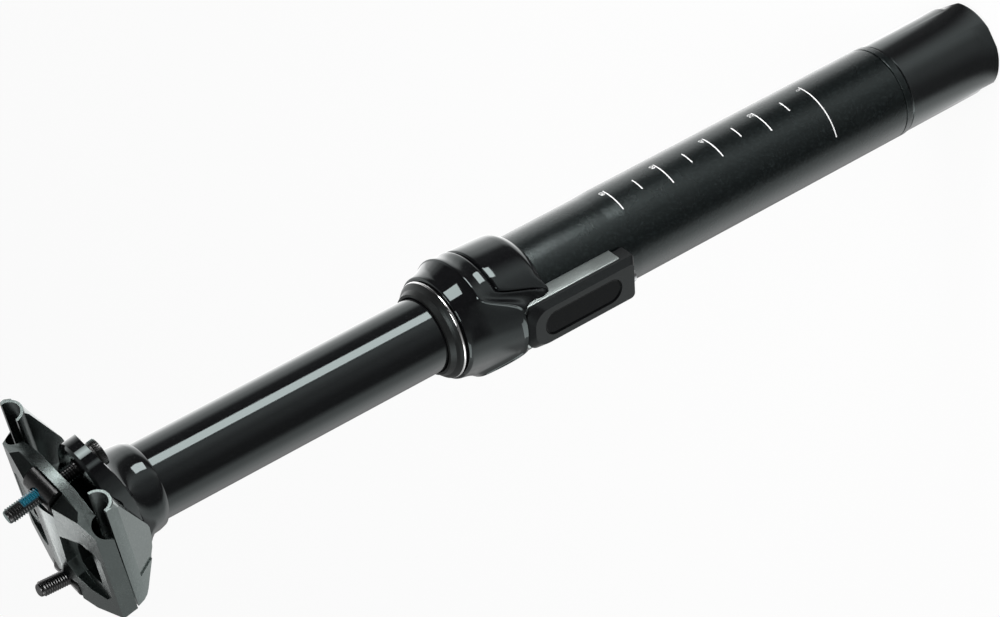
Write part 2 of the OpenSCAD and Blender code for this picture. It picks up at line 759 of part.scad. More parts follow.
// end view of a cheek: a straight band beside the trough, then a wedge down to its keel
function cheek_section() = [[cheek_in + 1.9, -part_gap], [cheek_out, -part_gap], [cheek_out, -band_h],
  [keel_y, -cheek_low - 0.2], [keel_y - keel_t, -cheek_low - 0.2], [cheek_in + 1.9, -band_h]];

// what the sunk panel takes off the wedge's outer slope
function panel_section() = [[cheek_out + 1, -band_h], [cheek_out - panel_deep, -band_h],
  [keel_y - panel_deep, -cheek_low - 0.2], [cheek_out + 1, -cheek_low - 0.2]];

// gable-roofed bridge with a window in each slope and a groove for each barrel nut
module upper_clamp() {
  color(dark) clamp_frame() difference() {
    intersection() {
      linear_extrude(bridge_top + 2) polygon(bridge_plan());
      rotate([90, 0, 90]) linear_extrude(2 * bridge_rear + 4, center = true)
        polygon([[-bridge_edge, part_gap], [bridge_edge, part_gap], [bridge_crease, crease_w],
          [1.5, bridge_top], [-1.5, bridge_top], [-bridge_crease, crease_w]]);
    }
    slab([[-bridge_rear - 2, skirt_w], [-bridge_rear + ledge_w, skirt_w],
      [-bridge_rear + ledge_w + 3.2, bridge_top + 1], [-bridge_rear - 2, bridge_top + 1]], bridge_edge + 2);
    for (s = [-1, 1]) {
      translate([0, s * rail_y, 0]) rotate([0, 90, 0]) cylinder(r = trough_r, h = 90, center = true);
      mirror([0, s < 0 ? 1 : 0, 0]) {
        translate([0, 0, window_floor]) linear_extrude(9) polygon(window_outer());
        translate([0, 0, -1]) linear_extrude(14) polygon(window_inner());
      }
    }
    nut_groove(-nut_rear_u, lean_rear, rear_slot_half);
    nut_groove(nut_front_u, lean_front, front_slot_half);
    translate([nut_front_u, 0, 0]) block(0, bridge_half, bolt_slot_r, -1, nut_w);
  }
}

// open groove for a nut, with a slot below it for the bolt's swing
module nut_groove(u, lean, slot_half) {
  translate([u, 0, nut_w]) {
    across(nut_seat_r, nut_len / 2 + loose);
    block(-nut_seat_r, nut_seat_r, nut_len / 2 + loose, 0, 9);
    for (k = [-1, 1]) translate([k * slot_half, 0, -9]) cylinder(r = bolt_slot_r, h = 10, $fn = 48);
    block(-slot_half, slot_half, bolt_slot_r, -9, 1);
    rotate([0, lean - tilt, 0]) cylinder(r = bolt_swing_r, h = 9, $fn = 48);
  }
}

function bridge_plan() = [[-bridge_rear, -9], [-bridge_rear, 9], [-17.6, bridge_edge],
  [16.4, bridge_edge], [20, 23.4], [bridge_half, 12], [bridge_half, -12], [20, -23.4],
  [16.4, -bridge_edge], [-17.6, -bridge_edge]];

function window_outer() = [[-6, 5.6], [-11, 17], [-6.8, 21.2], [11, 21.2], [14.8, 18.4], [15, 12],
  [12.6, 7.4], [8, 4.6]];

function window_inner() = [[-4, 9.4], [-6, 17.1], [9, 17.1], [10.4, 14], [10, 9.5], [8, 7.2], [1, 7.5]];

module clamp_bolt(seat, lean) {
  color(black) bolt_frame(seat, lean) difference() {
    union() {
      cylinder(r = bolt_head_d / 2, h = bolt_head_h);
      cylinder(r = bolt_d / 2, h = bolt_reach - 0.5);
      translate([0, 0, bolt_reach - 0.5]) cylinder(r1 = bolt_d / 2, r2 = bolt_d / 2 - 0.5, h = 0.5);
    }
    translate([0, 0, -1]) cylinder(d = 4 / cos(30), h = 2.8, $fn = 6);
  }
}

// washer with a half-round top, so a bolt can swing in its seat
module swing_washer(seat, lean) {
  color(steel) bolt_frame(seat, lean) difference() {
    intersection() {
      across(washer_r, washer_half + 1);
      translate([0, 0, bolt_head_h + seat_fit]) cylinder(r = washer_half, h = washer_r);
    }
    cylinder(r = bolt_d / 2 + seat_fit, h = washer_r + 1, $fn = 64);
  }
}

module barrel_nut(u, lean) {
  color(steel) clamp_frame() translate([u, 0, nut_w]) difference() {
    across(nut_r, nut_len / 2);
    rotate([0, lean - tilt, 0]) cylinder(r = nut_bore_r, h = 4 * nut_r, center = true, $fn = 64);
  }
}

module rear_bolt() {
  clamp_bolt(seat_rear, lean_rear);
}

module rear_washer() {
  swing_washer(seat_rear, lean_rear);
}

module rear_nut() {
  barrel_nut(-nut_rear_u, lean_rear);
}

module front_bolt() {
  clamp_bolt(seat_front, lean_front);
}

module front_washer() {
  swing_washer(seat_front, lean_front);
}

module front_nut() {
  barrel_nut(nut_front_u, lean_front);
}

lower_tube();
tube_ring();
bottom_cap();
rod_foot();
rod_nut();
bumper();
piston_rod();
piston();
seal_collar();
pod_cover();
cover_insert();
cover_screw();
inlet_ferrule();
lever_pin();
wiper_seal();
wiper_ring();
upper_bushing();
release_lever();
cable_anchor();
release_rod();
release_yoke();
valve_pin();
release_spring();
stanchion();
saddle_head();
lower_bushing();
guide_keys();
stanchion_foot();
cartridge_body();
cartridge_gland();
cartridge_plug();
lower_cradle();
upper_clamp();
rear_bolt();
rear_washer();
rear_nut();
front_bolt();
front_washer();
front_nut();
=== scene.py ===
# Dropper seatpost: a black telescopic post with a side actuator pod and a two-bolt rail clamp.
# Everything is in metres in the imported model's frame, with +Z up the post.
import json
import math

import bmesh
import bpy
from mathutils import Matrix, Vector


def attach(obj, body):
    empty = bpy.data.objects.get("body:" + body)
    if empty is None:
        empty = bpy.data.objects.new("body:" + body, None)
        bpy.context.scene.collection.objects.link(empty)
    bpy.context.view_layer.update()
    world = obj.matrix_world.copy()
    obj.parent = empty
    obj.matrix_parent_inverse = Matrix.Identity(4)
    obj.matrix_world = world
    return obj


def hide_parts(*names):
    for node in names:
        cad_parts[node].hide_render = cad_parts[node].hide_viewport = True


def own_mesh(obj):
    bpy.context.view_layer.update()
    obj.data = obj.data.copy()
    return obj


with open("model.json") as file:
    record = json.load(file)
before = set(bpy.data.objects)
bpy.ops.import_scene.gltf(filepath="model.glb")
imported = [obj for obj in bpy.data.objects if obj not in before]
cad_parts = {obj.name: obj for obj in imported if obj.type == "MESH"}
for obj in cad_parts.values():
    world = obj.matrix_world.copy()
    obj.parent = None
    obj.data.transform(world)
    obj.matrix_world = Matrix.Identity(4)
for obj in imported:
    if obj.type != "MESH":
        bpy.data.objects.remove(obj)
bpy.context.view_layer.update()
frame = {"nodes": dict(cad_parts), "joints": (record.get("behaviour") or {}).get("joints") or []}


# Camera: a long lens above the saddle clamp's left rear corner, rolled so that
# the post runs from the lower left of the picture to its upper right.
MM = 0.001
LENS = 148.075
SENSOR = 36
CAMERA_SPOT = Vector((-859.81, 671.76, 774.97)) * MM
CAMERA_RIGHT = Vector((-0.03722, 0.62616, -0.7788))
CAMERA_UP = Vector((-0.71514, -0.56104, -0.4169))
CAMERA_BACK = Vector((-0.69798, 0.54143, 0.46868))
camera_data = bpy.data.cameras.new("photo_camera")
camera_data.sensor_fit = "HORIZONTAL"
camera_data.sensor_width = SENSOR
camera_data.lens = LENS
camera = bpy.data.objects.new("photo_camera", camera_data)
bpy.context.scene.collection.objects.link(camera)
camera_turn = Matrix((CAMERA_RIGHT, CAMERA_UP, CAMERA_BACK)).transposed().to_quaternion()
camera.matrix_world = Matrix.LocRotScale(CAMERA_SPOT, camera_turn, None)
bpy.context.scene.camera = camera
bpy.context.scene.view_settings.view_transform = "Standard"


# Floor: a white sweep that the camera sees as plain white with a faint shadow. Polished metal sees a painted
# glow on it, bright and dark by bearing round the post, which stands in for a product table's uneven light.
FLOOR_R = 8
FLOOR_STEPS = 96
FLOOR_DROP = 0.4 * MM
FLOOR_GREY = (0.9, 0.9, 0.9, 1)
PLAIN_WHITE = (1, 1, 1, 1)
PLAIN_SHARE = 0.9
NEAR_SWEEP = 0.75
FAR_SWEEP = 1.1
# bearing round the post in degrees, and how bright the painted glow of the sweep near the post is, seen only
# in reflections
FLOOR_PAINTED_GLOW = [
    (0, 0.75), (18, 1.2), (34, 1.4), (64, 1.0), (88, 0.1), (104, 0.1), (140, 0.35), (166, 0.8), (200, 0.05),
    (222, 0.12), (243, 1.3), (262, 1.7), (285, 2.3), (312, 1.7), (325, 0.35), (344, 0.35), (360, 0.75)]
# the same painted glow for the far sweep, and the studio light above it
SKY_GLOW = [
    (0, 0.45), (18, 0.5), (34, 0.65), (50, 1.1), (66, 1.0), (82, 0.5), (98, 0.35), (114, 0.15), (146, 0.03),
    (200, 0.03), (240, 0.05), (252, 0.5), (264, 1.0), (278, 1.5), (292, 1.6), (318, 0.55), (336, 0.25),
    (350, 0.35), (360, 0.45)]


def add_node(tree, kind, inputs=(), **settings):
    node = tree.nodes.new("ShaderNode" + kind)
    for setting, choice in settings.items():
        setattr(node, setting, choice)
    for label, value in dict(inputs).items():
        if isinstance(value, bpy.types.NodeSocket):
            tree.links.new(value, node.inputs[label])
        else:
            node.inputs[label].default_value = value
    return node


def ramp(tree, value, start, stop, low=0, high=1, curve="LINEAR"):
    ends = {"From Min": start, "From Max": stop, "To Min": low, "To Max": high}
    return add_node(tree, "MapRange", {"Value": value, **ends}, interpolation_type=curve).outputs[0]


def calculate(tree, operation, *values):
    return add_node(tree, "Math", enumerate(values), operation=operation).outputs[0]


def mix_colours(tree, share, first, second):
    sockets = {"Factor": share, "A": first, "B": second}
    return add_node(tree, "Mix", sockets, data_type="RGBA").outputs["Result"]


def mix_shaders(tree, share, first, second):
    return add_node(tree, "MixShader", {0: share, 1: first, 2: second}).outputs[0]


def glow_by_bearing(tree, coordinates, levels):
    spot = add_node(tree, "TexCoord").outputs[coordinates]
    along = add_node(tree, "SeparateXYZ", {0: spot}).outputs
    bearing = calculate(tree, "ARCTAN2", along["Y"], along["X"])
    turns = calculate(tree, "DIVIDE", bearing, 2 * math.pi)
    glow = add_node(tree, "ValToRGB", {0: calculate(tree, "FRACT", turns)})
    stops = glow.color_ramp.elements
    glow.color_ramp.interpolation = "EASE"
    while len(stops) < len(levels):
        stops.new(0.5)
    for stop, (degrees, level) in zip(stops, levels):
        stop.position = degrees / 360
        stop.color = (level, level, level, 1)
    return glow.outputs[0]


floor_mesh = bpy.data.meshes.new("studio_floor")
shape = bmesh.new()
bmesh.ops.create_circle(shape, cap_ends=True, segments=FLOOR_STEPS, radius=FLOOR_R)
bmesh.ops.translate(shape, verts=shape.verts, vec=(0, 0, -FLOOR_DROP))
shape.to_mesh(floor_mesh)
shape.free()
floor = bpy.data.objects.new("studio_floor", floor_mesh)
bpy.context.scene.collection.objects.link(floor)
floor_look = bpy.data.materials.new("studio_floor")
floor_look.use_nodes = True
tree = floor_look.node_tree
tree.nodes.clear()
spot = add_node(tree, "TexCoord").outputs["Object"]
away = add_node(tree, "VectorMath", {0: spot}, operation="LENGTH").outputs["Value"]
far = ramp(tree, away, NEAR_SWEEP, FAR_SWEEP, curve="SMOOTHSTEP")
near_painted_glow = glow_by_bearing(tree, "Object", FLOOR_PAINTED_GLOW)
far_painted_glow = glow_by_bearing(tree, "Object", SKY_GLOW)
glow = mix_colours(tree, far, near_painted_glow, far_painted_glow)
# painted glow: an emission that the floor shows only in glossy rays, bright and dark by bearing round the
# post
painted_reflection_glow = add_node(tree, "Emission", {"Color": glow}).outputs[0]
matt = add_node(tree, "BsdfDiffuse", {"Color": FLOOR_GREY}).outputs[0]
plain = add_node(tree, "Emission", {"Color": PLAIN_WHITE}).outputs[0]
seen = mix_shaders(tree, PLAIN_SHARE, matt, plain)
rays = add_node(tree, "LightPath").outputs
unseen = mix_shaders(tree, rays["Is Glossy Ray"], matt, painted_reflection_glow)
add_node(tree, "OutputMaterial", {"Surface": mix_shaders(tree, rays["Is Camera Ray"], unseen, seen)})
floor_mesh.materials.append(floor_look)


# Light: a dim grey studio, which polished metal sees with bright and dark sides, and softboxes for
# the hard highlights. The three small ones have a grid, which keeps their light on the clamp.
FILL_GREY = (0.8, 0.8, 0.8, 1)
FILL = 0.45
DIM_START = 0.5
DIM_STOP = 0.78
DIM_LEVEL = 0.35
OPEN = 180
# name, place, what it points at, width, height, watts, spread of its beam in degrees
SOFTBOXES = [
    ("strip_box", (-0.33, -0.035, 0.1585), (0, 0, 0.1585), 0.13, 0.263, 1.126, OPEN),
    ("ear_box", (-0.33, -0.185, 0.33), (-0.026, 0.002, 0.344), 0.11, 0.07, 0.0048, 26),
    ("clamp_box", (-0.33, 0.085, 0.36), (-0.022, 0.013, 0.354), 0.14, 0.1, 0.0013, 26),
    ("bridge_box", (0.088, -0.0545, 0.3785), (-0.0128, 0.0064, 0.3588), 0.032, 0.032, 0.000085, 16),
    ("overhead_box", (0.49, -0.27, 1.42), (0, 0, 0.35), 0.46, 0.46, 1.8, OPEN),
    ("top_box", (-0.32, 0.26, 1.5), (0, 0, 0.25), 0.35, 0.6, 8, OPEN),
    ("side_box", (0.5, 1.1, 0.6), (0, 0, 0.2), 0.7, 0.7, 4, OPEN)]
world = bpy.data.worlds.new("studio")
bpy.context.scene.world = world
world.use_nodes = True
tree = world.node_tree
tree.nodes.clear()
backdrop = add_node(tree, "Background", {"Color": PLAIN_WHITE}).outputs[0]
fill = add_node(tree, "Background", {"Color": FILL_GREY, "Strength": FILL}).outputs[0]
spot = add_node(tree, "TexCoord").outputs["Generated"]
height = add_node(tree, "SeparateXYZ", {0: spot}).outputs["Z"]
dimmer = ramp(tree, height, DIM_START, DIM_STOP, 1, DIM_LEVEL)
glow = glow_by_bearing(tree, "Generated", SKY_GLOW)
studio = add_node(tree, "Background", {"Color": glow, "Strength": dimmer}).outputs[0]
rays = add_node(tree, "LightPath").outputs
in_metal_or_glass = calculate(tree, "MAXIMUM", rays["Is Glossy Ray"], rays["Is Transmission Ray"])
unseen = mix_shaders(tree, in_metal_or_glass, fill, studio)
add_node(tree, "OutputWorld", {"Surface": mix_shaders(tree, rays["Is Camera Ray"], unseen, backdrop)})
for name, place, aim, width, height, watts, spread in SOFTBOXES:
    lamp = bpy.data.lights.new(name, "AREA")
    lamp.shape = "RECTANGLE"
    lamp.size = width
    lamp.size_y = height
    lamp.energy = watts
    lamp.spread = math.radians(spread)
    box = bpy.data.objects.new(name, lamp)
    box.location = place
    box.rotation_euler = (Vector(aim) - Vector(place)).to_track_quat("-Z", "Y").to_euler()
    box.visible_camera = False
    bpy.context.scene.collection.objects.link(box)


# Lower tube: drawn aluminium, bead-blasted and anodised matt black, with a fine grain in its colour,
# gloss and relief. Its upper end tapers a little to the seat that the collar is bonded on.
PIT_DETAIL = 3
PIT_ROUGHNESS = 0.6
FLECK_START = 0.5
FLECK_STOP = 0.75
CLOUD_SCALE = 90
CLOUD_DETAIL = 2
CLOUD_START = 0.35
CLOUD_STOP = 0.65
COOL_GLOSS = (0.86, 1.0, 0.99, 1)
grain = bpy.data.node_groups.new("surface_grain", "ShaderNodeTree")
for label, way, kind in (("Colour", "INPUT", "Color"), ("Fleck", "INPUT", "Color"),
                         ("Size", "INPUT", "Float"), ("Smoothest", "INPUT", "Float"),
                         ("Roughest", "INPUT", "Float"), ("Colour", "OUTPUT", "Color"),
                         ("Roughness", "OUTPUT", "Float"), ("Height", "OUTPUT", "Float")):
    grain.interface.new_socket(label, in_out=way, socket_type="NodeSocket" + kind)
given = grain.nodes.new("NodeGroupInput").outputs
result = grain.nodes.new("NodeGroupOutput").inputs
spot = add_node(grain, "TexCoord").outputs["Object"]
pit_noise = {"Vector": spot, "Scale": given["Size"], "Detail": PIT_DETAIL, "Roughness": PIT_ROUGHNESS}
pits = add_node(grain, "TexNoise", pit_noise).outputs["Fac"]
cloud_noise = {"Vector": spot, "Scale": CLOUD_SCALE, "Detail": CLOUD_DETAIL}
clouds = add_node(grain, "TexNoise", cloud_noise).outputs["Fac"]
flecks = ramp(grain, pits, FLECK_START, FLECK_STOP)
roughness = ramp(grain, clouds, CLOUD_START, CLOUD_STOP, given["Smoothest"], given["Roughest"])
grain.links.new(mix_colours(grain, flecks, given["Colour"], given["Fleck"]), result["Colour"])
grain.links.new(roughness, result["Roughness"])
grain.links.new(pits, result["Height"])


def grained_finish(name, colour, fleck, size, gloss, relief, metallic=0.0, specular=0.5):
    finish = bpy.data.materials.new(name)
    finish.use_nodes = True
    tree = finish.node_tree
    shader = tree.nodes["Principled BSDF"].inputs
    shader["Metallic"].default_value = metallic
    shader["Specular IOR Level"].default_value = specular
    if not metallic:
        shader["Specular Tint"].default_value = COOL_GLOSS
    values = {"Colour": (*colour, 1), "Fleck": (*fleck, 1), "Size": size,
              "Smoothest": gloss[0], "Roughest": gloss[1]}
    texture = add_node(tree, "Group", values, node_tree=grain).outputs
    bump = add_node(tree, "Bump", {"Distance": relief * MM, "Height": texture["Height"]})
    tree.links.new(texture["Colour"], shader["Base Color"])
    tree.links.new(texture["Roughness"], shader["Roughness"])
    tree.links.new(bump.outputs["Normal"], shader["Normal"])
    return finish


def dress(node_names, finish):
    for name in node_names:
        mesh = frame["nodes"][name].data
        mesh.materials.clear()
        mesh.materials.append(finish)


tube_black = grained_finish("tube_black", colour=(0.002, 0.003, 0.0032), fleck=(0.0095, 0.0128, 0.0134),
                            size=1100, gloss=(0.25, 0.28), relief=0.05)
dress(["lower_tube"], tube_black)


# Printed scale: fine white pad-printed lines across the tube's left rear, 10 mm apart, with plain
# millimetres at the long ones and one line most of the way round that ends the scale.
PRINT_R = 15.455 * MM
PRINT_THICK = 0.02 * MM
LINE_W = 0.42 * MM
LINE_STEP = 2
LINE_LEAST_STEPS = 8
LONG_LINES = {150.5: "80", 130.5: "60", 110.5: "40", 90.5: "20"}
LONG_SPAN = (161.3, 198.5)
SHORT_LINES = (140.5, 120.5, 100.5, 80.5)
SHORT_SPAN = (172.8, 191.3)
END_LINE = 70.4
END_SPAN = (118.4, 200)
FIGURE_SIZE = 2.1 * MM
FIGURE_LIFT = 0.5
FIGURE_START = 191
ZERO_START = 193.5


def printed_line(shape, z, start, stop):
    at = math.radians(start)
    low = shape.verts.new((PRINT_R * math.cos(at), PRINT_R * math.sin(at), z * MM - LINE_W / 2))
    high = shape.verts.new(low.co + Vector((0, 0, LINE_W)))
    line = shape.edges.new((low, high))
    bmesh.ops.spin(shape, geom=[low, high, line], cent=(0, 0, 0), axis=(0, 0, 1),
                   angle=math.radians(stop - start),
                   steps=max(LINE_LEAST_STEPS, int((stop - start) / LINE_STEP)))


def printed_figures(shape, text, z, start):
    words = bpy.data.curves.new("figures", "FONT")
    words.body = text
    words.size = FIGURE_SIZE
    holder = bpy.data.objects.new("figures", words)
    bpy.context.scene.collection.objects.link(holder)
    flat = bpy.data.meshes.new_from_object(holder.evaluated_get(bpy.context.evaluated_depsgraph_get()))
    bpy.data.objects.remove(holder)
    before = set(shape.verts)
    shape.from_mesh(flat)
    bpy.data.meshes.remove(flat)
    for vert in [v for v in shape.verts if v not in before]:
        angle = math.radians(start) + vert.co.x / PRINT_R
        vert.co = (PRINT_R * math.cos(angle), PRINT_R * math.sin(angle), z * MM + vert.co.y)


def add_piece(name, shape, finish, body):
    mesh = bpy.data.meshes.new(name)
    shape.to_mesh(mesh)
    shape.free()
    mesh.materials.append(finish)
    piece = bpy.data.objects.new(name, mesh)
    bpy.context.scene.collection.objects.link(piece)
    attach(piece, body)
    return piece


shape = bmesh.new()
for z, text in LONG_LINES.items():
    printed_line(shape, z, *LONG_SPAN)
    printed_figures(shape, text, z + FIGURE_LIFT, FIGURE_START)
for z in SHORT_LINES:
    printed_line(shape, z, *SHORT_SPAN)
printed_line(shape, END_LINE, *END_SPAN)
printed_figures(shape, "0", END_LINE + FIGURE_LIFT, ZERO_START)
for face in shape.faces:
    middle = face.calc_center_median()
    if face.normal.dot(Vector((middle.x, middle.y, 0))) < 0:
        face.normal_flip()
bmesh.ops.solidify(shape, geom=shape.faces[:], thickness=-PRINT_THICK)
bmesh.ops.recalc_face_normals(shape, faces=shape.faces)
print_white = grained_finish("print_white", colour=(0.8, 0.8, 0.8), fleck=(0.72, 0.72, 0.72),
                             size=2600, gloss=(0.45, 0.55), relief=0.004)
add_piece("scale_print", shape, print_white, "outer_post")


# Lock ring and bottom cap: turned aluminium in satin black. The cap screws into the tube's lower end
# against the ring, and four flats at its foot take a wrench.
MERGE_GAP = 0.002 * MM
FLAT_WITHIN = 0.5
SHARP = 30
ROUNDING_STEPS = 3


def soft_edges(shape, limit=SHARP):
    for face in shape.faces:
        face.smooth = True
    for edge in shape.edges:
        edge.smooth = len(edge.link_faces) == 2 and edge.calc_face_angle() < math.radians(limit)


def merged_copy(node):
    mesh = frame["nodes"][node].data.copy()
    if "custom_normal" in mesh.attributes:
        mesh.attributes.remove(mesh.attributes["custom_normal"])
    shape = bmesh.new()
    shape.from_mesh(mesh)
    bpy.data.meshes.remove(mesh)
    bmesh.ops.remove_doubles(shape, verts=shape.verts, dist=MERGE_GAP)
    bmesh.ops.dissolve_limit(shape, angle_limit=math.radians(FLAT_WITHIN), verts=shape.verts,
                             edges=shape.edges)
    shape.normal_update()
    return shape


def soften(piece, rounding, limit=SHARP):
    edges = piece.modifiers.new("soft_edges", "BEVEL")
    edges.width = rounding * MM
    edges.segments = ROUNDING_STEPS
    edges.limit_method = "ANGLE"
    edges.angle_limit = math.radians(limit)
    edges.harden_normals = True


def softened_copy(node, name, finish, body, rounding, limit=SHARP):
    shape = merged_copy(node)
    soft_edges(shape, limit)
    piece = add_piece(name, shape, finish, body)
    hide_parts(node)
    soften(piece, rounding, limit)


softened_copy("tube_ring", "lock_ring", tube_black, "outer_post", rounding=0.3)
cap_black = grained_finish("cap_black", colour=(0.005, 0.005, 0.0055), fleck=(0.008, 0.008, 0.009),
                           size=1800, gloss=(0.14, 0.2), relief=0.004, specular=0.75)
softened_copy("bottom_cap", "end_cap", cap_black, "outer_post", rounding=0.25)


# Rod and piston: the gas spring's ground steel rod stands in the cap on an alloy foot, held from below
# by a steel nut. It carries a turned brass piston, and a rubber stop for the stanchion lies on the foot.
alloy = grained_finish("machined_alloy", colour=(0.68, 0.69, 0.7), fleck=(0.58, 0.59, 0.6),
                       size=1200, gloss=(0.25, 0.4), relief=0.008, metallic=1.0)
dress(["rod_foot"], alloy)
steel = grained_finish("ground_steel", colour=(0.55, 0.56, 0.57), fleck=(0.45, 0.46, 0.47),
                       size=1500, gloss=(0.2, 0.34), relief=0.006, metallic=1.0)
dress(["rod_nut", "piston_rod"], steel)
rubber = grained_finish("seal_rubber", colour=(0.008, 0.008, 0.008), fleck=(0.014, 0.014, 0.014),
                        size=1500, gloss=(0.3, 0.42), relief=0.01, specular=0.25)
dress(["bumper"], rubber)
brass = grained_finish("turned_brass", colour=(0.75, 0.56, 0.25), fleck=(0.62, 0.45, 0.19),
                       size=1300, gloss=(0.2, 0.36), relief=0.008, metallic=1.0)
dress(["piston"], brass)


# Seal collar: a forged and machined aluminium head on the tube, lacquered wet-gloss black. A thin groove
# and the ridge above it run round the collar and sweep down beside the pod. It is turned, then milled there.
POD_BEARING = 98
POD_TOP = 199.0
POD_LAP = 2.3
COLLAR_Z = 187.5
COLLAR_TOP = 218.4
COLLAR_R = 19.35
COLLAR_STEPS = 240
COLLAR_SHARP = 50
WAIST_IN = 0.45
MOUTH_IN = 2.9
GROOVE_UP = 16.9
GROOVE_SWEEP = 15.7
GROOVE_UP_IN_POD = 0.6
RIDGE_UP = 23.5
RIDGE_UP_AT_POD = 0.4
RIDGE_SWELL = 1.2
# degrees to each side of the pod's middle, from where a line leaves its course to where it arrives
GROOVE_TURN = (50, 27)
GROOVE_FADE = (38, 27)
RIDGE_TURN = (50, 22)
INSIDE_POD = (24, 19)
FAR_SIDE = 180
# zone of the section, place within the zone (a height in the bore), radius or share of the rise, cut
COLLAR_SECTION = [
    ("band", 0.0, 15.95, 0), ("band", 0.02, 16.3, 0), ("band", 0.045, 16.7, 0), ("band", 0.1, 17.3, 0),
    ("band", 0.15, 17.85, 0), ("band", 0.2, 18.15, 0), ("band", 0.28, 18.28, 0), ("band", 0.5, 18.46, 0),
    ("band", 0.8, 18.65, 0), ("band", 0.92, 18.7, 0), ("band", 0.945, 18.66, 0), ("band", 0.96, 18.55, 0),
    ("band", 0.97, 18.36, 0.1), ("band", 0.98, 18.3, 0.35),
    ("flank", 0.02, 0, 0.75), ("flank", 0.07, 0, 0.6), ("flank", 0.09, 0.05, 0.2),
    ("flank", 0.12, 0.16, 0.02), ("flank", 0.17, 0.24, 0), ("flank", 0.24, 0.24, 0),
    ("flank", 0.32, 0.14, 0), ("flank", 0.42, 0.02, 0), ("flank", 0.52, -0.02, 0), ("flank", 0.64, 0.12, 0),
    ("flank", 0.76, 0.45, 0), ("flank", 0.86, 0.8, 0), ("flank", 0.93, 0.96, 0), ("flank", 0.98, 1, 0),
    ("barrel", 0.0, 0.01, 0), ("barrel", 0.015, 0.05, 0), ("barrel", 0.03, 0.11, 0),
    ("barrel", 0.05, 0.16, 0), ("barrel", 0.09, 0.21, 0), ("barrel", 0.15, 0.29, 0),
    ("barrel", 0.22, 0.38, 0), ("barrel", 0.4, 0.58, 0), ("barrel", 0.58, 0.73, 0), ("barrel", 0.8, 0.84, 0),
    ("barrel", 0.93, 0.9, 0), ("barrel", 0.98, 0.94, 0), ("barrel", 1.0, 1.0, 0),
    ("bore", 218.4, 15.12, 0), ("bore", 209.1, 15.12, 0), ("bore", 209.1, 13.2, 0),
    ("bore", 206.15, 13.2, 0), ("bore", 206.15, 15.22, 0), ("bore", 187.5, 15.22, 0)]


def beside_pod(turn, start, stop):
    share = min(max((start - abs(turn)) / (start - stop), 0), 1)
    return share * share * (3 - 2 * share)


def between(share, a, b):
    return a + (b - a) * share


def collar_point(zone, share, size, cut, turn):
    inside_pod = beside_pod(turn, *INSIDE_POD)
    low = between(inside_pod, COLLAR_Z, POD_TOP - POD_LAP)
    swept = COLLAR_Z + GROOVE_UP - GROOVE_SWEEP * beside_pod(turn, *GROOVE_TURN)
    groove = between(inside_pod, swept, low + GROOVE_UP_IN_POD)
    depth = cut * (1 - beside_pod(turn, *GROOVE_FADE))
    at_pod = beside_pod(turn, *RIDGE_TURN)
    ridge = between(at_pod, COLLAR_Z + RIDGE_UP, POD_TOP + RIDGE_UP_AT_POD)
    ridge_r = COLLAR_R + RIDGE_SWELL * at_pod
    if zone == "band":
        return size - depth, between(share, low, groove)
    if zone == "flank":
        return between(size, COLLAR_R - WAIST_IN, ridge_r) - depth, between(share, groove, ridge)
    if zone == "barrel":
        return between(size, ridge_r, COLLAR_R - MOUTH_IN), between(share, ridge, COLLAR_TOP)
    return size, max(share, low)


shape = bmesh.new()
ring_of = shape.verts.layers.int.new("ring")
section = []
for number, ring in enumerate(COLLAR_SECTION):
    radius, height = collar_point(*ring, FAR_SIDE)
    vert = shape.verts.new((radius * MM, 0, height * MM))
    vert[ring_of] = number
    section.append(vert)
loop = [shape.edges.new(pair) for pair in zip(section, section[1:] + section[:1])]
bmesh.ops.spin(shape, geom=section + loop, cent=(0, 0, 0), axis=(0, 0, 1), angle=2 * math.pi,
               steps=COLLAR_STEPS, use_merge=True)
for vert in shape.verts:
    bearing = math.atan2(vert.co.y, vert.co.x)
    turn = (math.degrees(bearing) - POD_BEARING + 180) % 360 - 180
    radius, height = collar_point(*COLLAR_SECTION[vert[ring_of]], turn)
    vert.co = (radius * MM * math.cos(bearing), radius * MM * math.sin(bearing), height * MM)
bmesh.ops.recalc_face_normals(shape, faces=shape.faces)
soft_edges(shape, COLLAR_SHARP)
gloss_black = grained_finish("gloss_black", colour=(0.004, 0.004, 0.0045), fleck=(0.006, 0.006, 0.0065),
                             size=900, gloss=(0.035, 0.06), relief=0.001)
collar = add_piece("collar_shell", shape, gloss_black, "outer_post")
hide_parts("seal_collar")


# Pod housing: the collar's own arm down the tube, milled flat on both sides and left satin. A room
# right through it takes the release lever, and the cover is screwed to its outer face.
HOUSING_LOW = 162.2
HOUSING_SPLIT = 18.7
HOUSING_HALF = 7.8
HOUSING_BORE = 15.5
HOUSING_EDGE = 0.35
BORE_STEPS = 20
ROOM_HALF = 5.0
ROOM_LOW = 171.8
ROOM_TOP = 196.4
shape = bmesh.new()
half_turn = math.asin(HOUSING_HALF / HOUSING_BORE)
first = shape.verts.new((HOUSING_BORE * MM * math.cos(half_turn), -HOUSING_HALF * MM, HOUSING_LOW * MM))
bmesh.ops.spin(shape, geom=[first], cent=(0, 0, 0), axis=(0, 0, 1), angle=2 * half_turn, steps=BORE_STEPS)
last = max(shape.verts, key=lambda v: v.co.y)
corners = [shape.verts.new((HOUSING_SPLIT * MM, half * MM, HOUSING_LOW * MM))
           for half in (HOUSING_HALF, -HOUSING_HALF)]
for pair in ((last, corners[0]), (corners[0], corners[1]), (corners[1], first)):
    shape.edges.new(pair)
bmesh.ops.contextual_create(shape, geom=shape.edges[:])
grown = bmesh.ops.extrude_face_region(shape, geom=shape.faces[:])
